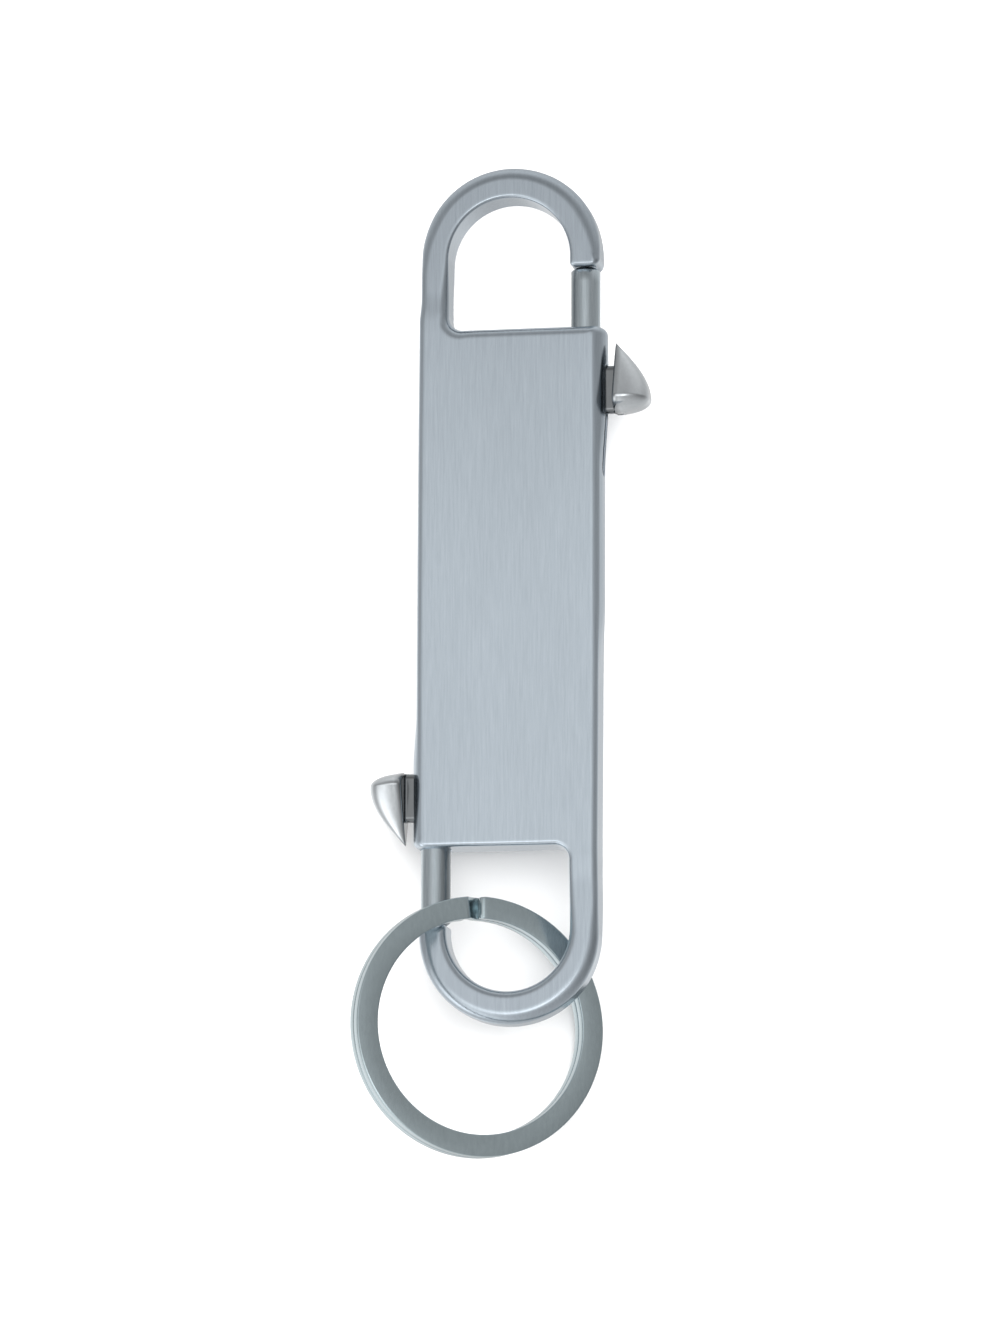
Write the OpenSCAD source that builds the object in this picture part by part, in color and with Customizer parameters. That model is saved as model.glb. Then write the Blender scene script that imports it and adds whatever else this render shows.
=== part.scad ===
// Double-ended key clip with a sprung plunger gate at each end and a split ring.
// The clip lies in the XY plane: +Y runs towards the upper hook, +X is the side of
// the upper gate, and +Z points out of the front face. The origin is the centre of
// the block's flat back face. The lower gate is the upper one turned half a turn about Z,
// and a little further out.

/* [Body] */
// Height of the upper hook's crown above the block's middle
upper_reach = 49; // [48.9:0.1:54]
// Depth of the lower hook's crown below the block's middle
lower_reach = 50.2; // [49:0.1:54]
// Length of the solid block between the two hook openings
block_l = 60; // [56:1:64]
// Width of the block
block_w = 20.6; // [20.4:0.1:21.4]
// Width over each hook
hook_w = 20.4; // [20:0.1:20.8]
// Thickness of the block
thick = 5; // [4.8:0.1:5.4]
// Thickness of the hooks, which are ground a little below the block's faces
hook_thick = 4.8; // [4.5:0.1:4.8]
// Width of the hook bar, seen from the front
bar_w = 3.3; // [3:0.1:3.4]
// Edge radius of the hook bar
bar_edge_r = 1.2; // [0.6:0.1:1.3]
// Edge radius along the block
block_edge_r = 0.8; // [0.4:0.1:1]

/* [Gate] */
// Diameter of the plunger
plunger_d = 3.36; // [3.2:0.02:3.4]
// Radial clearance of the plunger in its bore
bore_clear = 0.06; // [0.03:0.01:0.1]
// Distance of each plunger from the clip's long centre line
gate_x = 8.6; // [8.5:0.05:8.7]
// Distance of the lower hook nose's end from the block's middle
nose_y = 38.7; // [38.2:0.1:39]
// How much nearer to the middle the upper gate and its nose are than the lower ones
gate_drop = 1.7; // [0:0.1:2]
// How far a gate slides back
travel = 7; // [5:0.5:7]
// Length of the plunger
plunger_l = 18.4; // [17.6:0.2:18.8]

/* [Thumb knob] */
// Distance of the lower knob's base from the block's middle
knob_base_y = 21.2; // [21:0.1:21.4]
// How much farther out along its plunger the upper knob sits than the lower one
upper_knob_lift = 0.45; // [0:0.05:0.5]
// Length of the knob from its base to its tip
knob_l = 8.3; // [8:0.1:8.6]
// Distance of the knob's inner face from the clip's long centre line
knob_inner_x = 12.1; // [12:0.05:12.4]
// Distance of the knob's outermost point from the clip's long centre line
knob_outer_x = 16.1; // [15.8:0.1:16.6]
// Front to back size of the knob
knob_depth = 7; // [6.4:0.1:7.4]
// Length of the neck that joins the knob to the plunger
neck_l = 5.6; // [5.4:0.1:6]
// Thickness of the neck
neck_t = 1.3; // [1.1:0.1:1.4]

/* [Spring] */
// Wire diameter of the spring
spring_wire_d = 0.4; // [0.3:0.05:0.45]
// Outer diameter of the spring
spring_d = 3; // [2.8:0.1:3.1]
// Number of turns
spring_turns = 11; // [8:1:12]

/* [Split ring] */
// Outer diameter of the ring
ring_d = 29.5; // [29:0.5:30.5]
// Inner diameter of the ring
ring_bore_d = 24.5; // [24:0.5:25.5]
// Thickness of one turn of flat wire
ring_turn_t = 1.25; // [1.2:0.05:1.3]
// Angle between the ring and the clip's front face
ring_tilt = 30.5; // [30:0.5:32]

/* [Hidden] */
$fn = 64;

mid_z = thick / 2;
hook_r = hook_w / 2;
bore_r = plunger_d / 2 + bore_clear;

// The swelling around each plunger's bore, and where it fades into the block
boss_r = 2.45;
boss_reach = 11.25;
boss_full_y = 12;
boss_fade_y = -8;
boss_fade_r = 1.5;
boss_end_y = block_l / 2 - 0.1;
boss_end_l = 1.3;
boss_end_r = 1.7;

// The dimple in the nose that the plunger's domed tip closes into
tip_rise = 0.7;
tip_gap = 0.15;
tip_r = (pow(plunger_d / 2, 2) + pow(tip_rise, 2)) / (2 * tip_rise);
seat_r = tip_r + tip_gap;
tip_y = nose_y + 0.35;
plunger_back_y = tip_y - plunger_l;
bore_end_y = 1.5;

// The slot that the neck slides in, and the stud that joins neck and plunger
slot_gap = 0.15;
slot_w = neck_t + 2 * slot_gap;
neck_top_y = knob_base_y + neck_l;
neck_bottom_y = knob_base_y;
slot_top_y = neck_top_y + 0.25;
slot_bottom_y = neck_bottom_y - travel - 0.25;
stud_r = 0.65;
stud_y = (neck_top_y + neck_bottom_y) / 2;

// The spring's rest length, between the bore's end and the plunger's back
spring_end_gap = 0.05;
spring_l = plunger_back_y - bore_end_y - 2 * spring_end_gap;
spring_steps = 12;
spring_sides = 6;

// The ring's centre: it leans on the lower nose and passes under the lower arm
ring_x = -3.45;
ring_y = -50.55;
ring_z = 4.2;
ring_turn_gap = 0.08;
ring_end_angle = 89;
ring_end_gap = 9;

// Draws its children as they are for the upper end, or half a turn on for the lower
module at_end(lower) {
    rotate([0, 0, lower ? 180 : 0]) children();
}

// The same for what belongs to a gate: the upper gate is nearer to the block's middle
module at_gate(lower) {
    at_end(lower) translate([0, lower ? 0 : -gate_drop, 0]) children();
}

// How far out along its plunger each gate's knob, neck and slot sit
function knob_lift(lower) = lower ? 0 : upper_knob_lift;

// Lays a cylinder along +Y from y0 to y1, centred on x at mid thickness
module rod_y(x, y0, y1, r0, r1) {
    translate([x, y0, mid_z]) rotate([-90, 0, 0]) cylinder(h = y1 - y0, r1 = r0, r2 = r1);
}

// Rectangle w wide and t deep with round corners, centred on its own middle
module round_rect(w, t, r) {
    square([w - 2 * r, t], center = true);
    square([w, t - 2 * r], center = true);
    for (sx = [-1, 1], sy = [-1, 1])
        translate([sx * (w / 2 - r), sy * (t / 2 - r)]) circle(r = r);
}

// Straight bar along +Y from y0 to y1, w wide and t deep, centred on x at mid thickness
module bar_y(x, y0, y1, w, t, r) {
    translate([x, y0, mid_z]) rotate([-90, 0, 0])
        linear_extrude(height = y1 - y0) round_rect(w, t, r);
}

// One hook: its fixed arm, its half-round crown and the nose that meets the gate
module hook(reach, nose) {
    sink = 1.5;
    arm_x = hook_r - bar_w / 2;
    centre_y = reach - hook_r;
    bar_y(-arm_x, block_l / 2 - sink, centre_y, bar_w, hook_thick, bar_edge_r);
    translate([0, centre_y, mid_z]) rotate_extrude(angle = 180)
        translate([arm_x, 0]) round_rect(bar_w, hook_thick, bar_edge_r);
    bar_y(arm_x, nose, centre_y, bar_w, hook_thick, bar_edge_r);
}

// The swelling of the narrow side around the gate's bore
module boss() {
    boss_x = boss_reach - boss_r;
    rod_y(boss_x, boss_end_y - boss_end_l, boss_end_y, boss_r, boss_end_r);
    rod_y(boss_x, boss_full_y, boss_end_y - boss_end_l, boss_r, boss_r);
    rod_y(boss_x, boss_fade_y, boss_full_y, boss_fade_r, boss_r);
}

// The bore, the neck's slot and the dimple in the nose
module gate_cuts(lower) {
    rod_y(gate_x, bore_end_y, block_l / 2 + gate_drop + 1, bore_r, bore_r);
    translate([gate_x, slot_bottom_y + knob_lift(lower), mid_z - slot_w / 2])
        cube([boss_reach, slot_top_y - slot_bottom_y, slot_w]);
    translate([gate_x, tip_y - tip_r, mid_z]) sphere(r = seat_r);
}

module body() {
    color("#b0bcc4") difference() {
        union() {
            bar_y(0, -block_l / 2, block_l / 2, block_w, thick, block_edge_r);
            at_end(false) hook(upper_reach, nose_y - gate_drop);
            at_end(true) hook(lower_reach, nose_y);
            for (lower = [false, true]) at_end(lower) boss();
        }
        for (lower = [false, true]) at_gate(lower) gate_cuts(lower);
    }
}

// Turned pin with a domed tip and a cross hole for the knob's stud
module plunger(lower) {
    chamfer = 0.3;
    dome_h = tip_y - tip_rise;
    color("#98a2a6") at_gate(lower) difference() {
        union() {
            rod_y(gate_x, plunger_back_y, plunger_back_y + chamfer, plunger_d / 2 - chamfer, plunger_d / 2);
            rod_y(gate_x, plunger_back_y + chamfer, dome_h, plunger_d / 2, plunger_d / 2);
            intersection() {
                rod_y(gate_x, dome_h, tip_y, plunger_d / 2, plunger_d / 2);
                translate([gate_x, tip_y - tip_r, mid_z]) sphere(r = tip_r);
            }
        }
        translate([gate_x - plunger_d, stud_y + knob_lift(lower), mid_z]) rotate([0, 90, 0])
            cylinder(h = 2 * plunger_d, r = stud_r);
    }
}

module upper_plunger() { plunger(false); }
module lower_plunger() { plunger(true); }

// A ring of points around the spring's wire at step i
function coil_ring(i, coil_r) =
    let (a = 360 * i / spring_steps,
         y = spring_wire_d / 2 + (spring_l - spring_wire_d) * i / (spring_steps * spring_turns))
    [for (s = [0:spring_sides - 1])
        let (b = 360 * s / spring_sides, rr = coil_r + spring_wire_d / 2 * cos(b))
        [rr * cos(a), y + spring_wire_d / 2 * sin(b), rr * sin(a)]];

// Open-coiled compression spring along +Y, from y = 0
module coil() {
    rings = spring_steps * spring_turns;
    coil_r = (spring_d - spring_wire_d) / 2;
    points = [for (i = [0:rings]) each coil_ring(i, coil_r)];
    sides = [for (i = [0:rings - 1], s = [0:spring_sides - 1])
        let (a = i * spring_sides + s, b = i * spring_sides + (s + 1) % spring_sides)
        each [[a, b, b + spring_sides], [a, b + spring_sides, a + spring_sides]]];
    first = [for (s = [0:spring_sides - 1]) spring_sides - 1 - s];
    last = [for (s = [0:spring_sides - 1]) rings * spring_sides + s];
    polyhedron(points = points, faces = concat([first, last], sides));
}

module spring(lower) {
    color("#8a9094") at_gate(lower)
        translate([gate_x, bore_end_y + spring_end_gap, mid_z]) coil();
}

module upper_spring() { spring(false); }
module lower_spring() { spring(true); }

// One level of the knob: its four corners, with its reach and depth scaled by gx and gz
module knob_level(rise, gx, gz) {
    for (side = [-1, 1], corner = [[0.5, 0], [1.8, 1]]) {
        r = corner[0] * min(gx, gz);
        x = corner[1] == 0 ? knob_inner_x + r : knob_inner_x + (knob_outer_x - knob_inner_x) * gx - r;
        translate([x, knob_base_y + rise, mid_z + side * (knob_depth / 2 * gz - r)]) rotate([-90, 0, 0])
            cylinder(h = 0.02, r = r, $fn = 24);
    }
}

// Half-round ogive with a flat inner face and its tip at that face, on a domed base
module knob_shell() {
    rim_rise = 1.6;
    tip_ball_r = 0.35;
    hull() {
        for (a = [10, 35, 60]) knob_level(rim_rise * (1 - cos(a)), sin(a), sin(a));
        for (s = [0.2:0.2:1])
            knob_level(rim_rise + (knob_l - rim_rise) * (1 - s), sin(90 * s), pow(s, 0.85));
        translate([knob_inner_x + tip_ball_r, knob_base_y + knob_l - tip_ball_r, mid_z])
            sphere(r = tip_ball_r, $fn = 16);
    }
}

// Knob with the flat neck that slides in the slot and the stud pressed into the plunger
module thumb_knob(lower) {
    end_r = neck_t / 2;
    neck_x = gate_x + plunger_d / 2;
    color("#c9cdce") at_gate(lower) translate([0, knob_lift(lower), 0]) union() {
        knob_shell();
        translate([neck_x, neck_bottom_y + end_r, mid_z - end_r])
            cube([knob_inner_x - neck_x + 0.5, neck_l - 2 * end_r, neck_t]);
        for (y = [neck_bottom_y + end_r, neck_top_y - end_r])
            translate([neck_x, y, mid_z]) rotate([0, 90, 0])
                cylinder(h = knob_inner_x - neck_x + 0.5, r = end_r);
        translate([gate_x - plunger_d / 2 + 0.3, stud_y, mid_z]) rotate([0, 90, 0])
            cylinder(h = plunger_d, r = stud_r - 0.01);
    }
}

module upper_thumb_knob() { thumb_knob(false); }
module lower_thumb_knob() { thumb_knob(true); }

// A stretch of flat wire in the ring's own plane, from z0 up, between two angles
module ring_turn(z0, start, sweep, inset) {
    rotate([0, 0, start]) translate([0, 0, z0]) rotate_extrude(angle = sweep, $fn = 128)
        translate([ring_bore_d / 2 + inset, 0])
            square([(ring_d - ring_bore_d) / 2 - 2 * inset, ring_turn_t]);
}

// Two turns of wire with their free ends at the seam, where the wire steps down between them
module split_ring() {
    lap = 1;
    cut = 0.5;
    sweep = 360 - ring_end_gap - lap - cut;
    left = ring_end_angle + ring_end_gap;
    color("#979ea1") translate([ring_x, ring_y, ring_z]) rotate([0, ring_tilt, 0]) union() {
        ring_turn(ring_turn_gap / 2, left, sweep, 0);
        ring_turn(-ring_turn_gap / 2 - ring_turn_t, left + lap + cut, sweep, 0);
        ring_turn(-ring_turn_t / 2, ring_end_angle - lap, ring_end_gap + 2 * lap, 0.1);
    }
}

body();
upper_plunger();
lower_plunger();
upper_spring();
lower_spring();
upper_thumb_knob();
lower_thumb_knob();
split_ring();
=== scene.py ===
"""Double-ended key clip with a split ring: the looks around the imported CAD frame.

Shapes are worked out in millimetres and written to meshes in metres. The cast body and the thumb knobs
are distance fields, skinned by a surface net, so that every edge has its own soft round. The plungers,
springs and the split ring are swept or turned meshes.
"""

import math

import bpy
import numpy as np
from mathutils import Matrix, Vector


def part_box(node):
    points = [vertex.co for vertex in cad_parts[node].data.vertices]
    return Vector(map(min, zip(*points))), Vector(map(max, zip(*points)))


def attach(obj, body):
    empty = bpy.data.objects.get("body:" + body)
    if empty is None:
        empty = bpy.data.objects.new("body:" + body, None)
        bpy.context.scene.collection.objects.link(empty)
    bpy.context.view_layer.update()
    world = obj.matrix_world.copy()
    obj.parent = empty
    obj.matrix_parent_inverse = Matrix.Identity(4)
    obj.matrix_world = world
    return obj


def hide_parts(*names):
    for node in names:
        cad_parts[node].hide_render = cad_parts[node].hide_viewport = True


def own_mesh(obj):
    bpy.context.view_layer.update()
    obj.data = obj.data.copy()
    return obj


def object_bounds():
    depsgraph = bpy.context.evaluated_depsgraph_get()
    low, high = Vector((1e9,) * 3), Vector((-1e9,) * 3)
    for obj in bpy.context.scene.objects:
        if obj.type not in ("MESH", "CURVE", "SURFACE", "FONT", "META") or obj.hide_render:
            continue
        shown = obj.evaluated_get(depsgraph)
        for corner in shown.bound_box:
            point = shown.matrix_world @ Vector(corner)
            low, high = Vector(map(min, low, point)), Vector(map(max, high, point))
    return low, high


MM = 0.001

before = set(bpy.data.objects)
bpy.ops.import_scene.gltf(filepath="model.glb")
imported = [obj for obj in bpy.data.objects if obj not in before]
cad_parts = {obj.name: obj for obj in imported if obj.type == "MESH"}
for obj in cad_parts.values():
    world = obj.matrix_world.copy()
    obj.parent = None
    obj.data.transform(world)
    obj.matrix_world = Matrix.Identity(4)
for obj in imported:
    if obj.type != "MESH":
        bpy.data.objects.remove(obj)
CAD_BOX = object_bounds()


def mm_box(node):
    """Lowest and highest corners of a CAD node, in millimetres."""
    low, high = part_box(node)
    return np.array(low) / MM, np.array(high) / MM


# ---------------------------------------------------------------- dimensions, in mm
BODY_LOW, BODY_HIGH = mm_box("body")
THICK = BODY_HIGH[2] - BODY_LOW[2]
MID_Z = (BODY_LOW[2] + BODY_HIGH[2]) / 2
SIDE_REACH = BODY_HIGH[0]
UPPER_REACH, LOWER_REACH = BODY_HIGH[1], -BODY_LOW[1]

# The lower gate, turned half a turn, is the pattern for both; the upper one is nearer to the middle.
PIN_LOW, PIN_HIGH = mm_box("lower_plunger")
PLUNGER_R = (PIN_HIGH[0] - PIN_LOW[0]) / 2
GATE_X = -(PIN_HIGH[0] + PIN_LOW[0]) / 2
PIN_BACK_Y, PIN_TIP_Y = -PIN_HIGH[1], -PIN_LOW[1]
GATE_DROP = PIN_TIP_Y - mm_box("upper_plunger")[1][1]

COIL_LOW, COIL_HIGH = mm_box("lower_spring")
COIL_R = (COIL_HIGH[0] - COIL_LOW[0]) / 2
COIL_LOW_Y, COIL_HIGH_Y = -COIL_HIGH[1], -COIL_LOW[1]

KNOB_LOW, KNOB_HIGH = mm_box("lower_thumb_knob")
KNOB_BASE_Y, KNOB_TIP_Y = -KNOB_HIGH[1], -KNOB_LOW[1]
KNOB_OUTER_X = -KNOB_LOW[0]
KNOB_HALF_DEPTH = (KNOB_HIGH[2] - KNOB_LOW[2]) / 2
KNOB_INNER_X = 12.1
KNOB_RIM_RISE = 1.6
KNOB_CORNER_R = 2.9
KNOB_EDGE_R = 0.6
KNOB_LEAST_SHARE = 0.02
UPPER_KNOB_LIFT = KNOB_LOW[1] + GATE_DROP + mm_box("upper_thumb_knob")[1][1]

BLOCK_HALF_W = 10.3
BLOCK_HALF_L = 30.0
HOOK_R = 10.2
HOOK_SINK = 0.1
ARM_W = 3.1
CROWN_W = 3.7
NOSE_Y = PIN_TIP_Y - 0.35
CUT_CORNER_R = 1.7
PLAN_CORNER_R = 0.9
CUT_EDGE_R = 0.14
BORE_R = PLUNGER_R + 0.06
BORE_END_Y = COIL_LOW_Y - 0.05
SLOT_SIDE_GAP = 0.15
SLOT_END_GAP = 0.25
DIMPLE_GAP = 0.15
TRAVEL = 7.0
TIP_RISE = 0.7
OVERSHOOT = 3.0

NECK_T = 1.3
NECK_L = 5.6
NECK_Y = KNOB_BASE_Y
NECK_END_R = NECK_T / 2 - 0.01

RING_R = 14.75
RING_BORE_R = 12.25
RING_TURN_T = 1.25
RING_TILT = math.radians(30.5)
RING_CENTRE = np.array([-3.45, -50.55, 4.2])
RING_END = math.radians(89.8)


# ---------------------------------------------------------------- distance fields
def smoothstep(low, high, v):
    """Eases from 0 at low to 1 at high."""
    t = np.clip((v - low) / (high - low), 0.0, 1.0)
    return t * t * (3.0 - 2.0 * t)


def round_cut(a, b, r):
    """What lies inside both fields, with the edge between them rounded to radius r."""
    return np.minimum(np.maximum(a, b), -r) + np.hypot(np.maximum(a + r, 0.0), np.maximum(b + r, 0.0))


def soft_join(a, b, k):
    """What lies inside either field, with a fillet of about k between them."""
    h = np.maximum(k - np.abs(a - b), 0.0) / k
    return np.minimum(a, b) - h * h * k / 4.0


def rectangle(x, y, low, high, r=0.0):
    """Field of an axis-aligned rectangle with corner radius r."""
    qx = np.abs(x - (low[0] + high[0]) / 2) - (high[0] - low[0]) / 2 + r
    qy = np.abs(y - (low[1] + high[1]) / 2) - (high[1] - low[1]) / 2 + r
    outside = np.hypot(np.maximum(qx, 0.0), np.maximum(qy, 0.0))
    return outside + np.minimum(np.maximum(qx, qy), 0.0) - r


def hook_void(x, y, reach, nose_y):
    """A hook's opening and its gate gap, as a plan field that is negative in the open."""
    inner_r = HOOK_R - ARM_W
    crown_y = reach - CROWN_W - inner_r
    straight = rectangle(x, y, (-inner_r, BLOCK_HALF_L), (inner_r + 4.0, crown_y + 4.0), CUT_CORNER_R)
    straight = np.maximum(np.maximum(straight, x - inner_r), y - crown_y)
    crown = np.maximum(np.hypot(x, y - crown_y) - inner_r, crown_y - y)
    gap = rectangle(x, y, (inner_r - 3.0, BLOCK_HALF_L), (SIDE_REACH + 6.0, nose_y))
    fillet = 0.05 + 0.45 * smoothstep(32.0, 34.0, y)
    return soft_join(np.minimum(straight, crown), gap, fillet)


def outer_outline(x, y):
    """The clip's outer outline in plan: the block, easing in to the hooks, a little fuller on the +X side."""
    ay = np.abs(y)
    centre_y = np.where(y > 0.0, UPPER_REACH, LOWER_REACH) - HOOK_R
    half_w = BLOCK_HALF_W + (HOOK_R - BLOCK_HALF_W) * smoothstep(8.0, 36.0, ay)
    upper_bulge, lower_bulge = 0.022, 0.011
    wider = np.where(y > 0.0, upper_bulge, lower_bulge) * smoothstep(30.0, 36.0, ay)
    x = np.where(x > 0.0, x * (1.0 - wider), x)
    return np.where(ay > centre_y, np.hypot(x, ay - centre_y) - HOOK_R, np.abs(x) - half_w)


def side_swell(x, y, z, nose_y):
    """How far the narrow side swells around the upper gate's bore: one rise, then a second by the knob."""
    along = 0.5 * smoothstep(-12.0, -2.0, y) + 0.5 * smoothstep(13.0, 21.0, y)
    across = np.clip(1.0 - (z / 2.4) ** 2, 0.0, 1.0)
    return (SIDE_REACH - BLOCK_HALF_W) * along * across * (x > 0.0) * (y < nose_y - 3.0)


def block_fullness(x, y):
    """How much fuller than its nominal width the block was cast, more on the -X side."""
    left_full, right_full = 0.25, 0.08
    return np.where(x < 0.0, left_full, right_full) * smoothstep(34.0, 31.0, np.abs(y))


def half_thickness(y):
    """Half the thickness: full along the block, a little less on the hooks, with a soft ramp between."""
    return THICK / 2 - HOOK_SINK * smoothstep(31.0, 34.5, np.abs(y))


def edge_radius(x, y, side, end_wall):
    """Radius of the face's edge: wide round the crown, fine along the sides, hand-dressed at the openings."""
    ay = np.abs(y)
    outer_r = 0.8 + 0.9 * smoothstep(36.0, 43.0, ay) * np.where(y > 0.0, 1.0, 0.75)
    arm_side = np.where(y > 0.0, -x, x)
    on_arm = smoothstep(4.0, 7.0, arm_side) * smoothstep(39.0, 33.0, ay)
    at_block = smoothstep(32.0, 30.3, ay)
    upper_r = 0.4 + 0.75 * on_arm + 0.75 * at_block * (1.0 - 0.7 * on_arm)
    lower_r = 0.95 - 0.45 * smoothstep(40.0, 32.0, ay)
    inner_r = np.where(y > 0.0, upper_r, lower_r)
    return inner_r + (outer_r - inner_r) * smoothstep(-0.8, 0.8, side - end_wall)


def cast_body(x, y, z):
    """The clip's one-piece body. z is counted from mid thickness."""
    upper_nose, lower_nose = NOSE_Y - GATE_DROP, NOSE_Y
    swell = side_swell(x, y, z, upper_nose) + side_swell(-x, -y, z, lower_nose)
    full = -soft_join(-swell, -block_fullness(x, y), 0.2)
    side = outer_outline(x, y) - full
    void = np.minimum(
        hook_void(x, y, UPPER_REACH, upper_nose), hook_void(-x, -y, LOWER_REACH, lower_nose)
    )
    end_wall = -void
    plan = round_cut(side, end_wall, PLAN_CORNER_R)
    face = np.abs(z) - half_thickness(y)
    return round_cut(plan, face, edge_radius(x, y, side, end_wall))


def gate_cuts(x, y, z, drop, lift):
    """Bore, neck slot and nose dimple of a gate at the upper side, negative inside them."""
    radial = np.hypot(x - GATE_X, z)
    bore = np.maximum(radial - BORE_R, np.maximum(BORE_END_Y - drop - y, y - BLOCK_HALF_L - OVERSHOOT))
    slot_half = NECK_T / 2 + SLOT_SIDE_GAP
    slot_low = NECK_Y - drop + lift - TRAVEL - SLOT_END_GAP
    slot_high = NECK_Y - drop + lift + NECK_L + SLOT_END_GAP
    slot = rectangle(y, z, (slot_low, -slot_half), (slot_high, slot_half), slot_half - 0.01)
    slot = np.maximum(slot, GATE_X - x)
    tip_r = (PLUNGER_R**2 + TIP_RISE**2) / (2 * TIP_RISE)
    tip_y = PIN_TIP_Y - drop
    dimple = np.sqrt((x - GATE_X) ** 2 + (y - tip_y + tip_r) ** 2 + z**2) - tip_r - DIMPLE_GAP
    dimple = np.maximum(dimple, tip_y - OVERSHOOT - y)
    return np.minimum(np.minimum(bore, slot), dimple)


def body_field(x, y, z):
    """The cast body less both gates' cuts."""
    cuts = np.minimum(gate_cuts(x, y, z, GATE_DROP, UPPER_KNOB_LIFT), gate_cuts(-x, -y, z, 0.0, 0.0))
    return round_cut(cast_body(x, y, z), -cuts, CUT_EDGE_R)


def knob_field(x, y, z):
    """A thumb knob at the upper side: a half-round ogive, flat inside, on a domed base, with its neck."""
    out = x - KNOB_INNER_X
    up = y - KNOB_BASE_Y
    reach = KNOB_OUTER_X - KNOB_INNER_X
    length = KNOB_TIP_Y - KNOB_BASE_Y
    above = np.clip((length - up) / (length - KNOB_RIM_RISE), 0.0, 1.0)
    below = np.clip((KNOB_RIM_RISE - up) / KNOB_RIM_RISE, 0.0, 1.0)
    in_dome = up < KNOB_RIM_RISE
    across = np.where(in_dome, np.sqrt(1.0 - below**2), np.sin(above * math.pi / 2))
    deep = np.where(in_dome, np.sqrt(1.0 - below**2), above**0.85)
    across = np.maximum(across, KNOB_LEAST_SHARE)
    deep = np.maximum(deep, KNOB_LEAST_SHARE)
    size = np.minimum(across, deep)
    far_corner = (reach, KNOB_HALF_DEPTH)
    section = rectangle(out / across, z / deep, (-reach, -KNOB_HALF_DEPTH), far_corner, KNOB_CORNER_R)
    ends = np.maximum(up - length, -up)
    side = np.maximum(section * size, ends)
    shell = round_cut(side, -out, KNOB_EDGE_R * size)
    return soft_join(shell, neck_field(x, y, z), 0.2)


def neck_field(x, y, z):
    """Flat neck with round ends, from just outside the plunger to the knob."""
    plate = rectangle(y, z, (NECK_Y, -NECK_T / 2), (NECK_Y + NECK_L, NECK_T / 2), NECK_END_R)
    start_x = GATE_X + PLUNGER_R - 0.05
    return round_cut(plate, np.maximum(start_x - x, x - KNOB_INNER_X - 0.6), 0.05)


# ---------------------------------------------------------------- skinning a distance field
def surface_net(field, low, high, step):
    """Points and quads of the surface where the field is zero, with a point in each cell that it crosses."""
    axes = [np.arange(low[i] - 1.5 * step, high[i] + 2.5 * step, step) for i in range(3)]
    size = [len(a) for a in axes]
    value = np.empty(size, np.float32)
    for i, x in enumerate(axes[0]):
        value[i] = field(x, axes[1][:, None], axes[2][None, :])
    inside = value < 0.0
    total = np.zeros([n - 1 for n in size], np.int8)
    for i in (0, 1):
        for j in (0, 1):
            for k in (0, 1):
                total += inside[i : size[0] - 1 + i, j : size[1] - 1 + j, k : size[2] - 1 + k]
    crossed = (total > 0) & (total < 8)
    cells = np.argwhere(crossed)
    index = np.full(crossed.shape, -1, np.int64)
    index[crossed] = np.arange(len(cells))
    points = np.zeros((len(cells), 3))
    hits = np.zeros(len(cells))
    offsets = [(0, 0, 0), (1, 0, 0), (0, 1, 0), (0, 0, 1), (1, 1, 0), (1, 0, 1), (0, 1, 1), (1, 1, 1)]
    for a in offsets:
        for axis in range(3):
            if a[axis]:
                continue
            b = list(a)
            b[axis] = 1
            va = value[tuple((cells + a).T)]
            vb = value[tuple((cells + b).T)]
            cut = (va < 0.0) != (vb < 0.0)
            t = np.where(cut, va / np.where(cut, va - vb, 1.0), 0.0)
            place = cells + np.array(a, float)
            place[:, axis] += t
            points[cut] += place[cut]
            hits[cut] += 1
    points = points / hits[:, None] * step + [a[0] for a in axes]
    quads = []
    for axis in range(3):
        u, v = (axis + 1) % 3, (axis + 2) % 3
        shape = list(inside.shape)
        first = [slice(None)] * 3
        second = [slice(None)] * 3
        first[axis], second[axis] = slice(0, shape[axis] - 1), slice(1, shape[axis])
        change = inside[tuple(first)] != inside[tuple(second)]
        edges = np.argwhere(change)
        keep = (edges[:, u] > 0) & (edges[:, v] > 0)
        keep &= (edges[:, u] < shape[u] - 1) & (edges[:, v] < shape[v] - 1)
        edges = edges[keep]
        leaving = inside[tuple(edges.T)]
        corners = []
        for du, dv in ((-1, -1), (0, -1), (0, 0), (-1, 0)):
            cell = edges.copy()
            cell[:, u] += du
            cell[:, v] += dv
            corners.append(index[tuple(cell.T)])
        quad = np.stack(corners, 1)
        quads.append(np.where(leaving[:, None], quad, quad[:, ::-1]))
    return points, np.concatenate(quads)


def settle_points(field, points):
    """Moves points along the field's slope until they lie on its surface."""
    h = 0.01
    least_slope = 0.5
    farthest = 0.1
    for _ in range(3):
        x, y, z = points.T
        value = field(x, y, z)
        slope = np.stack([
            field(x + h, y, z) - field(x - h, y, z),
            field(x, y + h, z) - field(x, y - h, z),
            field(x, y, z + h) - field(x, y, z - h),
        ], 1) / (2 * h)
        strength = np.maximum((slope**2).sum(1), least_slope**2)
        move = -slope * (value / strength)[:, None]
        points = points + np.clip(move, -farthest, farthest)
    return points


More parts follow.
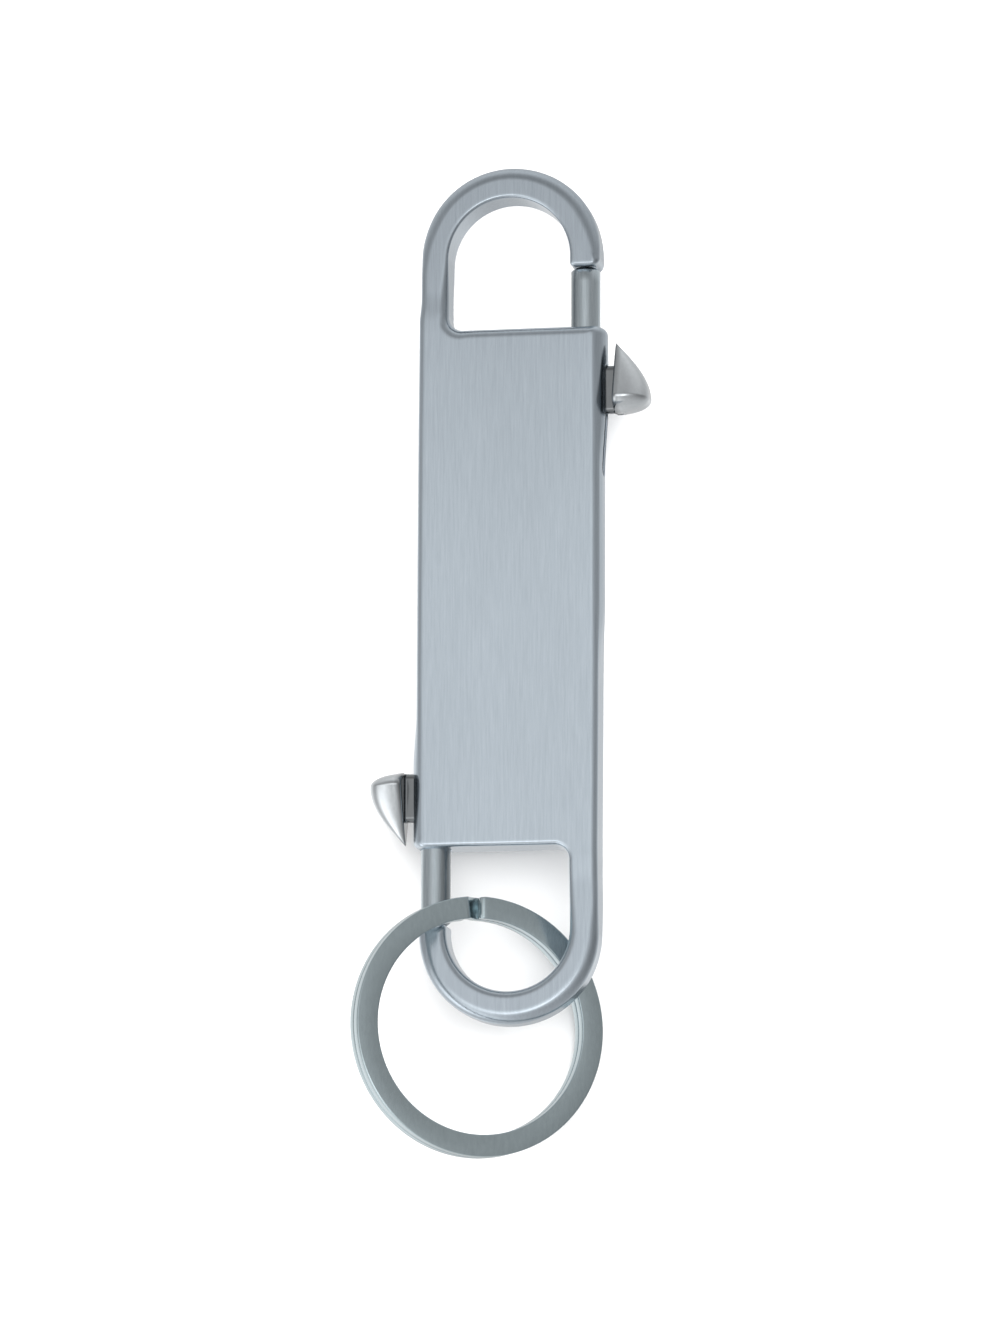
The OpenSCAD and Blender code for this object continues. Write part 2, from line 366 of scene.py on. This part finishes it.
def mesh_object(name, points_mm, faces):
    """A smooth mesh object from points in mm. Faces are an array of quads, or a list of mixed faces."""
    mesh = bpy.data.meshes.new(name)
    points = np.asarray(points_mm, float) * MM
    if isinstance(faces, np.ndarray):
        count, sides = faces.shape
        mesh.vertices.add(len(points))
        mesh.vertices.foreach_set("co", points.astype(np.float32).ravel())
        mesh.loops.add(count * sides)
        mesh.loops.foreach_set("vertex_index", faces.astype(np.int32).ravel())
        mesh.polygons.add(count)
        mesh.polygons.foreach_set("loop_start", np.arange(count, dtype=np.int32) * sides)
        mesh.update(calc_edges=True)
    else:
        mesh.from_pydata([tuple(p) for p in points], [], faces)
        mesh.update()
    mesh.validate()
    mesh.polygons.foreach_set("use_smooth", [True] * len(mesh.polygons))
    obj = bpy.data.objects.new(name, mesh)
    bpy.context.scene.collection.objects.link(obj)
    return obj


def skin(name, field, low, high, step):
    """A mesh of a field whose z is counted from mid thickness."""
    points, quads = surface_net(field, low, high, step)
    points = settle_points(field, points)
    points[:, 2] += MID_Z
    return mesh_object(name, points, quads)


def lower_copy(name, source):
    """The lower gate's piece: a copy of the pattern turned half a turn about Z."""
    obj = bpy.data.objects.new(name, source.data.copy())
    obj.data.name = name
    obj.data.transform(Matrix.Rotation(math.pi, 4, "Z"))
    bpy.context.scene.collection.objects.link(obj)
    return obj


def drop_to_upper(source, drop):
    """Moves a pattern piece towards the middle, to where the upper gate has it."""
    source.data.transform(Matrix.Translation((0.0, -drop * MM, 0.0)))


# ---------------------------------------------------------------- turned and swept pieces
def arc(centre, r, start_deg, end_deg, count):
    """Points along an arc in a plane."""
    angles = np.radians(np.linspace(start_deg, end_deg, count))
    return [(centre[0] + r * math.cos(a), centre[1] + r * math.sin(a)) for a in angles]


def turned_piece(name, profile, x, sides=96):
    """Turns (radius, y) points about the line along +Y through x at mid thickness."""
    points = []
    for r, y in profile:
        for s in range(sides):
            a = 2 * math.pi * s / sides
            points.append((x + r * math.cos(a), y, MID_Z + r * math.sin(a)))
    faces = []
    for i in range(len(profile) - 1):
        for s in range(sides):
            t = (s + 1) % sides
            faces.append((i * sides + s, (i + 1) * sides + s, (i + 1) * sides + t, i * sides + t))
    faces.append(tuple(range(sides)))
    last = (len(profile) - 1) * sides
    faces.append(tuple(last + s for s in reversed(range(sides))))
    return mesh_object(name, points, faces)


def plunger_piece(name):
    """Turned pin: a back end with a rounded edge, a long straight and a domed tip."""
    r = PLUNGER_R
    back, tip = PIN_BACK_Y, PIN_TIP_Y
    dome_r = (r * r + TIP_RISE * TIP_RISE) / (2 * TIP_RISE)
    edge = math.degrees(math.asin(r / dome_r))
    back_edge_r = 0.3
    centre_r = 0.35
    profile = [(centre_r, back)]
    profile += arc((r - back_edge_r, back + back_edge_r), back_edge_r, -90, 0, 6)
    straight = np.linspace(back + 0.4, tip - TIP_RISE - 0.02, 14)
    profile += [(r, y) for y in straight]
    dome = arc((0, tip - dome_r), dome_r, 90 - edge, 89.0, 16)
    profile += dome[1:]
    return turned_piece(name, profile, GATE_X)


def tube_piece(name, centres, radius, sides=12):
    """A round tube along a list of centre points, closed at both ends."""
    centres = np.array(centres)
    along = np.gradient(centres, axis=0)
    along /= np.linalg.norm(along, axis=1)[:, None]
    up = np.array([0.0, 1.0, 0.0])
    points, faces = [], []
    for c, d in zip(centres, along):
        side = np.cross(d, up)
        side /= np.linalg.norm(side)
        lift = np.cross(side, d)
        for s in range(sides):
            a = 2 * math.pi * s / sides
            points.append(c + radius * (math.cos(a) * side + math.sin(a) * lift))
    for i in range(len(centres) - 1):
        for s in range(sides):
            t = (s + 1) % sides
            faces.append((i * sides + s, i * sides + t, (i + 1) * sides + t, (i + 1) * sides + s))
    faces.append(tuple(reversed(range(sides))))
    last = (len(centres) - 1) * sides
    faces.append(tuple(last + s for s in range(sides)))
    return mesh_object(name, points, faces)


def spring_piece(name):
    """Compression spring with closed end turns, along +Y in the gate's bore."""
    wire_r = 0.2
    coil_r = COIL_R - wire_r
    turns, per_turn = 13, 28
    low, high = COIL_LOW_Y + wire_r, COIL_HIGH_Y - wire_r
    pitch = 2.2 * wire_r
    centres = []
    for i in range(turns * per_turn + 1):
        turn = i / per_turn
        open_share = np.clip((turn - 1.0) / (turns - 2.0), 0.0, 1.0)
        y = low + pitch * min(turn, 1.0) + (high - low - 2 * pitch) * open_share
        y += pitch * max(turn - (turns - 1.0), 0.0)
        a = 2 * math.pi * turn
        centres.append((GATE_X + coil_r * math.cos(a), y, MID_Z + coil_r * math.sin(a)))
    return tube_piece(name, centres, wire_r)


def ring_frame():
    """The ring's own axes: across, along the clip, and out of its face."""
    across = np.array([math.cos(RING_TILT), 0.0, -math.sin(RING_TILT)])
    out = np.array([math.sin(RING_TILT), 0.0, math.cos(RING_TILT)])
    return across, np.array([0.0, 1.0, 0.0]), out


def split_ring_piece(name):
    """One flat wire wound twice: the front turn's end meets the place where the wire dives to the back."""
    half_w = (RING_R - RING_BORE_R) / 2
    half_t = RING_TURN_T / 2
    mid_r = (RING_R + RING_BORE_R) / 2
    layer = half_t + 0.02
    edge = 0.16
    end_shrink = 0.06
    section = []
    for sx, sy, start in ((1, 1, 0), (-1, 1, 90), (-1, -1, 180), (1, -1, 270)):
        section += arc((sx * (half_w - edge), sy * (half_t - edge)), edge, start, start + 90, 5)
    dive = math.radians(6.5)
    lap = math.radians(1.2)
    per_turn = 180
    step = 2 * math.pi / per_turn
    full = 2 * math.pi - dive
    sweep = 2 * full + dive - lap
    stations = list(np.arange(0.0, full, step)) + list(np.linspace(full, full + dive, 18))
    stations += list(np.arange(full + dive + step, sweep, step)) + [sweep]
    across, along, out = ring_frame()
    points, faces = [], []
    for travel in stations:
        t = np.clip((travel - full) / dive, 0.0, 1.0)
        drop = math.sin(t * math.pi / 2)
        height = layer * (1 - 2 * drop)
        end = min(travel, sweep - travel)
        shrink = end_shrink if end <= 0.0 else 0.0
        angle = RING_END - travel
        radial = across * math.cos(angle) + along * math.sin(angle)
        for u, v in section:
            su = u * (1 - shrink / half_w)
            sv = v * (1 - shrink / half_t)
            points.append(RING_CENTRE + radial * (mid_r + su) + out * (height + sv))
    n = len(section)
    for i in range(len(stations) - 1):
        for s in range(n):
            t = (s + 1) % n
            faces.append((i * n + s, (i + 1) * n + s, (i + 1) * n + t, i * n + t))
    faces.append(tuple(range(n)))
    last = (len(stations) - 1) * n
    faces.append(tuple(last + s for s in reversed(range(n))))
    return mesh_object(name, points, faces)


# ---------------------------------------------------------------- materials
def new_material(name, colour, metallic, roughness):
    """A material with its Principled shader; returns the material, its node tree and the shader."""
    mat = bpy.data.materials.new(name)
    mat.use_nodes = True
    tree = mat.node_tree
    shader = tree.nodes["Principled BSDF"]
    shader.inputs["Base Color"].default_value = (*colour, 1.0)
    shader.inputs["Metallic"].default_value = metallic
    shader.inputs["Roughness"].default_value = roughness
    return mat, tree, shader


def add_node(tree, kind, **settings):
    """A new node with its settings."""
    node = tree.nodes.new(kind)
    for key, value in settings.items():
        setattr(node, key, value)
    return node


def link_math(tree, operation, a, b=None):
    """A math node fed by a and b, each of them a socket or a number."""
    node = add_node(tree, "ShaderNodeMath", operation=operation)
    for socket, value in zip(node.inputs, (a, b)):
        if isinstance(value, (int, float)):
            socket.default_value = value
        elif value is not None:
            tree.links.new(value, socket)
    return node.outputs[0]


def stretched_noise(tree, scale, noise_scale, detail=3.0, roughness=0.6):
    """Noise in object coordinates, stretched by a scale for each axis."""
    coords = add_node(tree, "ShaderNodeTexCoord")
    mapping = add_node(tree, "ShaderNodeMapping")
    mapping.inputs["Scale"].default_value = scale
    noise = add_node(tree, "ShaderNodeTexNoise")
    noise.inputs["Scale"].default_value = noise_scale
    noise.inputs["Detail"].default_value = detail
    noise.inputs["Roughness"].default_value = roughness
    tree.links.new(coords.outputs["Object"], mapping.inputs["Vector"])
    tree.links.new(mapping.outputs["Vector"], noise.inputs["Vector"])
    return noise


def ramp(tree, source, low, high, low_colour, high_colour):
    """A colour that runs from one to the other while the source runs from low to high."""
    node = add_node(tree, "ShaderNodeValToRGB")
    node.color_ramp.elements[0].position = low
    node.color_ramp.elements[1].position = high
    node.color_ramp.elements[0].color = (*low_colour, 1.0)
    node.color_ramp.elements[1].color = (*high_colour, 1.0)
    tree.links.new(source, node.inputs["Fac"])
    return node


def remap(tree, source, to_low, to_high, from_low=0.3, from_high=0.7):
    """The source, moved from one range to another."""
    node = add_node(tree, "ShaderNodeMapRange")
    node.inputs["From Min"].default_value = from_low
    node.inputs["From Max"].default_value = from_high
    node.inputs["To Min"].default_value = to_low
    node.inputs["To Max"].default_value = to_high
    tree.links.new(source, node.inputs["Value"])
    return node


def object_axis(tree, axis):
    """The object coordinate along one axis, in metres."""
    coords = add_node(tree, "ShaderNodeTexCoord")
    parts = add_node(tree, "ShaderNodeSeparateXYZ")
    tree.links.new(coords.outputs["Object"], parts.inputs["Vector"])
    return parts.outputs[axis]


def toned(tree, colour, place, low, high, stops):
    """Multiplies a colour by a tone that changes with place, from low to high in metres; stops are in mm."""
    share = remap(tree, place, 0.0, 1.0, low, high)
    tone = add_node(tree, "ShaderNodeValToRGB")
    elements = tone.color_ramp.elements
    while len(elements) < len(stops):
        elements.new(0.5)
    for element, (at, value) in zip(elements, stops):
        element.position = (at * MM - low) / (high - low)
        element.color = (value, value, value, 1.0)
    tree.links.new(share.outputs["Result"], tone.inputs["Fac"])
    mix = add_node(tree, "ShaderNodeMixRGB", blend_type="MULTIPLY")
    mix.inputs["Fac"].default_value = 1.0
    tree.links.new(colour, mix.inputs["Color1"])
    tree.links.new(tone.outputs["Color"], mix.inputs["Color2"])
    return mix.outputs["Color"]


def brushed_metal(name, dark, light, roughness, grain, depth, tone):
    """Satin plated metal brushed along the clip: fine lengthwise lines, faint long streaks and small pits."""
    mat, tree, shader = new_material(name, light, 1.0, roughness)
    fine = stretched_noise(tree, (grain, grain / 22.0, grain), 1.0, 5.0, 0.75)
    streak = stretched_noise(tree, (2200.0, 90.0, 2200.0), 1.0, 3.0, 0.6)
    mottle = stretched_noise(tree, (140.0, 60.0, 140.0), 1.0, 2.0, 0.5)
    both = link_math(tree, "MULTIPLY", fine.outputs["Fac"], 0.75)
    both = link_math(tree, "ADD", both, link_math(tree, "MULTIPLY", streak.outputs["Fac"], 0.25))
    colour = ramp(tree, both, 0.33, 0.67, dark, light)
    tree.links.new(tone(tree, colour.outputs["Color"]), shader.inputs["Base Color"])
    rough = remap(tree, mottle.outputs["Fac"], roughness - 0.03, roughness + 0.05)
    tree.links.new(rough.outputs["Result"], shader.inputs["Roughness"])
    shader.inputs["Anisotropic"].default_value = 0.55
    across = add_node(tree, "ShaderNodeVectorTransform", vector_type="VECTOR")
    across.convert_from, across.convert_to = "OBJECT", "WORLD"
    across.inputs["Vector"].default_value = (1.0, 0.0, 0.0)
    tree.links.new(across.outputs["Vector"], shader.inputs["Tangent"])
    bump = add_node(tree, "ShaderNodeBump")
    bump.inputs["Strength"].default_value = 0.35
    bump.inputs["Distance"].default_value = depth
    tree.links.new(fine.outputs["Fac"], bump.inputs["Height"])
    tree.links.new(bump.outputs["Normal"], shader.inputs["Normal"])
    return mat


def body_tone(tree, colour):
    """Tone along the clip: the block lightest, the lower hook a little darker and the upper hook darkest."""
    stops = (
        (-LOWER_REACH, 0.88), (-32.5, 0.94), (-29.5, 1.0), (0, 1.0), (24, 0.94), (29.5, 0.9), (32.5, 0.82),
        (UPPER_REACH, 0.8),
    )
    return toned(tree, colour, object_axis(tree, "Y"), -LOWER_REACH * MM, UPPER_REACH * MM, stops)


def pin_painted_light(tree, colour):
    """Painted shade on the side of each plunger that faces into its hook, and a painted highlight along its
    outer side.
    """
    offset = link_math(tree, "ABSOLUTE", object_axis(tree, "X"))
    inner, outer = GATE_X - PLUNGER_R, GATE_X + PLUNGER_R
    stops = ((inner, 0.55), (inner + 0.5, 0.65), (inner + 1.0, 0.92), (outer - 0.8, 1.0), (outer, 1.25))
    return toned(tree, colour, offset, inner * MM, outer * MM, stops)


def knob_painted_shade(tree, colour):
    """Painted shade: each knob's neck and inner side are much darker, and its outside a little darker."""
    offset = link_math(tree, "ABSOLUTE", object_axis(tree, "X"))
    start = GATE_X + PLUNGER_R
    stops = ((start, 0.3), (KNOB_INNER_X, 0.28), (KNOB_INNER_X + 0.8, 0.82), (KNOB_OUTER_X, 0.78))
    return toned(tree, colour, offset, start * MM, KNOB_OUTER_X * MM, stops)


def polished_metal(name, colour, roughness, tone=None):
    """Polished plate with a faint ripple and a few wear marks in the gloss."""
    mat, tree, shader = new_material(name, colour, 1.0, roughness)
    ripple = stretched_noise(tree, (380.0, 380.0, 380.0), 1.0, 2.0, 0.5)
    scuff = stretched_noise(tree, (2600.0, 900.0, 2600.0), 1.0, 5.0, 0.7)
    dark = tuple(c * 0.93 for c in colour)
    tint = ramp(tree, scuff.outputs["Fac"], 0.3, 0.6, dark, colour)
    plate = tone(tree, tint.outputs["Color"]) if tone else tint.outputs["Color"]
    tree.links.new(plate, shader.inputs["Base Color"])
    rough = remap(tree, scuff.outputs["Fac"], roughness, roughness + 0.08)
    tree.links.new(rough.outputs["Result"], shader.inputs["Roughness"])
    bump = add_node(tree, "ShaderNodeBump")
    bump.inputs["Strength"].default_value = 0.15
    bump.inputs["Distance"].default_value = 0.00002
    tree.links.new(ripple.outputs["Fac"], bump.inputs["Height"])
    tree.links.new(bump.outputs["Normal"], shader.inputs["Normal"])
    return mat


def floor_material():
    """Matt white with the faintest cloud in it."""
    mat, tree, shader = new_material("floor_white", (0.9, 0.9, 0.9), 0.0, 0.9)
    grain = stretched_noise(tree, (60.0, 60.0, 60.0), 1.0, 2.0, 0.5)
    tint = ramp(tree, grain.outputs["Fac"], 0.2, 0.8, (0.89, 0.89, 0.89), (0.91, 0.91, 0.91))
    tree.links.new(tint.outputs["Color"], shader.inputs["Base Color"])
    return mat


def give(obj, material):
    """Gives an object its only material."""
    obj.data.materials.clear()
    obj.data.materials.append(material)


# ---------------------------------------------------------------- the pieces
SATIN = brushed_metal(
    "satin_nickel", (0.50, 0.565, 0.625), (0.585, 0.655, 0.72), 0.22, 4200.0, 0.000012, body_tone
)
# The plungers' tone paints shade on their inner sides and a highlight on their outer sides.
PIN = brushed_metal(
    "plunger_nickel", (0.42, 0.48, 0.51), (0.56, 0.62, 0.66), 0.24, 3200.0, 0.00003, pin_painted_light
)
# The knobs' tone paints shade on their necks and inner sides, and a little on their outsides.
POLISHED = polished_metal("polished_nickel", (0.76, 0.80, 0.83), 0.10, tone=knob_painted_shade)
SPRING_STEEL = polished_metal("spring_steel", (0.50, 0.51, 0.52), 0.25)
RING_METAL = polished_metal("ring_nickel", (0.495, 0.58, 0.61), 0.17)

NET_STEP = 0.14
KNOB_NET_STEP = 0.09

body_low = (-SIDE_REACH, -LOWER_REACH, -THICK / 2)
body_high = (SIDE_REACH, UPPER_REACH, THICK / 2)
body = skin("clip_body", body_field, body_low, body_high, NET_STEP)
give(body, SATIN)
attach(body, "clip")
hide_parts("body")

knob_low = (GATE_X, KNOB_BASE_Y, -KNOB_HALF_DEPTH)
knob_high = (KNOB_OUTER_X, KNOB_TIP_Y, KNOB_HALF_DEPTH)
upper_knob = skin("upper_knob", knob_field, knob_low, knob_high, KNOB_NET_STEP)
lower_knob = lower_copy("lower_knob", upper_knob)
upper_pin = plunger_piece("upper_pin")
lower_pin = lower_copy("lower_pin", upper_pin)
upper_coil = spring_piece("upper_coil")
lower_coil = lower_copy("lower_coil", upper_coil)
drop_to_upper(upper_knob, GATE_DROP - UPPER_KNOB_LIFT)
drop_to_upper(upper_pin, GATE_DROP)
drop_to_upper(upper_coil, GATE_DROP)

for piece, node, rides, metal, finish in (
    (upper_knob, "upper_thumb_knob", "upper_gate", POLISHED, "polished_nickel"),
    (lower_knob, "lower_thumb_knob", "lower_gate", POLISHED, "polished_nickel"),
    (upper_pin, "upper_plunger", "upper_gate", PIN, "plunger_nickel"),
    (lower_pin, "lower_plunger", "lower_gate", PIN, "plunger_nickel"),
    (upper_coil, "upper_spring", "clip", SPRING_STEEL, "spring_steel"),
    (lower_coil, "lower_spring", "clip", SPRING_STEEL, "spring_steel"),
):
    give(piece, metal)
    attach(piece, rides)
    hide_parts(node)

coil_ends = (
    (upper_coil, "upper_gate_slide", GATE_X, COIL_LOW_Y - GATE_DROP),
    (lower_coil, "lower_gate_slide", -GATE_X, -COIL_LOW_Y),
)
for piece, joint, x, y in coil_ends:
    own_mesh(piece)

ring = split_ring_piece("key_ring")
give(ring, RING_METAL)
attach(ring, "ring")
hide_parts("split_ring")


# ---------------------------------------------------------------- floor, lights and camera
# Places and lengths from here on are in metres.
FLOOR_Z = CAD_BOX[0][2]
FLOOR_REACH = 3.0


def make_floor():
    """A wide pale sheet under the clip."""
    corners = ((-1, -1), (1, -1), (1, 1), (-1, 1))
    mesh = bpy.data.meshes.new("floor")
    mesh.from_pydata([(x * FLOOR_REACH, y * FLOOR_REACH, FLOOR_Z) for x, y in corners], [], [(0, 1, 2, 3)])
    obj = bpy.data.objects.new("floor", mesh)
    bpy.context.scene.collection.objects.link(obj)
    mesh.materials.append(floor_material())
    return obj


def area_light(name, place, aim, size, power):
    """A white rectangular light that faces its aim."""
    data = bpy.data.lights.new(name, "AREA")
    data.shape = "RECTANGLE"
    data.size, data.size_y = size
    data.energy = power
    obj = bpy.data.objects.new(name, data)
    obj.location = place
    direction = Vector(aim) - Vector(place)
    obj.rotation_euler = direction.to_track_quat("-Z", "Y").to_euler()
    bpy.context.scene.collection.objects.link(obj)
    return obj


def lean_ramp(tree, lean, stops):
    """Brightness by how many degrees a direction leans from straight up."""
    node = add_node(tree, "ShaderNodeValToRGB")
    elements = node.color_ramp.elements
    while len(elements) < len(stops):
        elements.new(0.5)
    for element, (degrees, value) in zip(elements, stops):
        element.position = degrees / 180.0
        element.color = (value, value, value, 1.0)
    tree.links.new(lean, node.inputs["Fac"])
    return node.outputs["Color"]


def make_world(around, cards):
    """A studio dome with soft cards in it, each at its own bearing (degrees from +X) and with its spread."""
    world = bpy.data.worlds.new("studio")
    bpy.context.scene.world = world
    world.use_nodes = True
    tree = world.node_tree
    coords = add_node(tree, "ShaderNodeTexCoord")
    parts = add_node(tree, "ShaderNodeSeparateXYZ")
    tree.links.new(coords.outputs["Generated"], parts.inputs["Vector"])
    x, y, z = (parts.outputs[k] for k in "XYZ")
    lean = link_math(tree, "MULTIPLY", link_math(tree, "ARCCOSINE", z), 1.0 / math.pi)
    flat = link_math(tree, "ADD", link_math(tree, "MULTIPLY", x, x), link_math(tree, "MULTIPLY", y, y))
    level = link_math(tree, "MAXIMUM", link_math(tree, "SQRT", flat), 0.001)
    shade = lean_ramp(tree, lean, around)
    for bearing, tightness, stops in cards:
        dx, dy = math.cos(math.radians(bearing)), math.sin(math.radians(bearing))
        along = link_math(tree, "ADD", link_math(tree, "MULTIPLY", x, dx), link_math(tree, "MULTIPLY", y, dy))
        toward = link_math(tree, "MAXIMUM", link_math(tree, "DIVIDE", along, level), 0.0)
        mix = add_node(tree, "ShaderNodeMixRGB")
        tree.links.new(link_math(tree, "POWER", toward, tightness), mix.inputs["Fac"])
        tree.links.new(shade, mix.inputs["Color1"])
        tree.links.new(lean_ramp(tree, lean, stops), mix.inputs["Color2"])
        shade = mix.outputs["Color"]
    tree.links.new(shade, tree.nodes["Background"].inputs["Color"])


# Brightness by degrees from straight up, each table for its own bearing
RIGHT_WALL = (
    (0, 1.02), (14, 1.0), (37, 0.62), (53, 0.42), (71, 0.3), (95, 0.27), (115, 0.36), (140, 0.72), (166, 1.0),
)
LEFT_WALL = (
    (0, 1.02), (14, 0.98), (37, 0.72), (53, 0.5), (71, 0.38), (95, 0.36), (112, 0.7), (128, 1.2), (150, 1.1),
    (166, 0.85),
)
TOP_CARD = (
    (0, 1.02), (12, 0.94), (23, 0.62), (36, 0.4), (48, 0.4), (60, 0.5), (75, 0.74), (90, 0.9), (130, 0.75),
    (166, 0.7),
)
BOTTOM_STRIP = (
    (0, 1.02), (11, 1.15), (16, 2.6), (23, 2.8), (28, 1.4), (38, 0.6), (60, 0.58), (90, 0.66), (130, 0.7),
    (160, 0.68),
)
CORNER_WINDOW = (
    (0, 1.02), (20, 1.6), (45, 1.1), (80, 2.1), (100, 0.9), (118, 0.7), (135, 1.25), (160, 0.68),
)
CARDS = (
    (180.0, 0.7, LEFT_WALL), (90.0, 1.0, TOP_CARD), (270.0, 2.0, BOTTOM_STRIP), (225.0, 8.0, CORNER_WINDOW),
)

floor = make_floor()
make_world(RIGHT_WALL, CARDS)
key = area_light("key", (0.35, 0.4, 0.8), (0, 0, 0), (1.6, 1.6), 30.0)

# The metal mirrors the studio dome alone: neither the key nor the white sheet shows in it.
key.visible_glossy = False
floor.visible_glossy = False

CAMERA_DISTANCE = 0.8
CAMERA_AZIMUTH = math.radians(10.2)
CAMERA_LOW = math.radians(10.0)
CAMERA_ROLL = math.radians(0.18)
AIM = Vector((-0.00128, -0.00907, MID_Z * MM))
IMAGE_H_MM = 152.0
SENSOR_HEIGHT_MM = 36.0


def make_camera():
    """Nearly square on to the clip, from a little below and from the right."""
    data = bpy.data.cameras.new("camera")
    data.sensor_fit = "VERTICAL"
    data.sensor_height = SENSOR_HEIGHT_MM
    data.lens = SENSOR_HEIGHT_MM * CAMERA_DISTANCE / (IMAGE_H_MM * MM)
    obj = bpy.data.objects.new("camera", data)
    out = Vector((math.sin(CAMERA_AZIMUTH), -math.sin(CAMERA_LOW), 0.0))
    out.z = math.sqrt(1.0 - out.x**2 - out.y**2)
    obj.location = AIM + out * CAMERA_DISTANCE
    right = Vector((0, 1, 0)).cross(out).normalized()
    up = out.cross(right)
    c, s = math.cos(CAMERA_ROLL), math.sin(CAMERA_ROLL)
    turn = Matrix((right * c + up * s, up * c - right * s, out)).transposed()
    obj.rotation_euler = turn.to_euler()
    bpy.context.scene.collection.objects.link(obj)
    bpy.context.scene.camera = obj
    return obj


make_camera()
bpy.context.scene.view_settings.view_transform = "Standard"
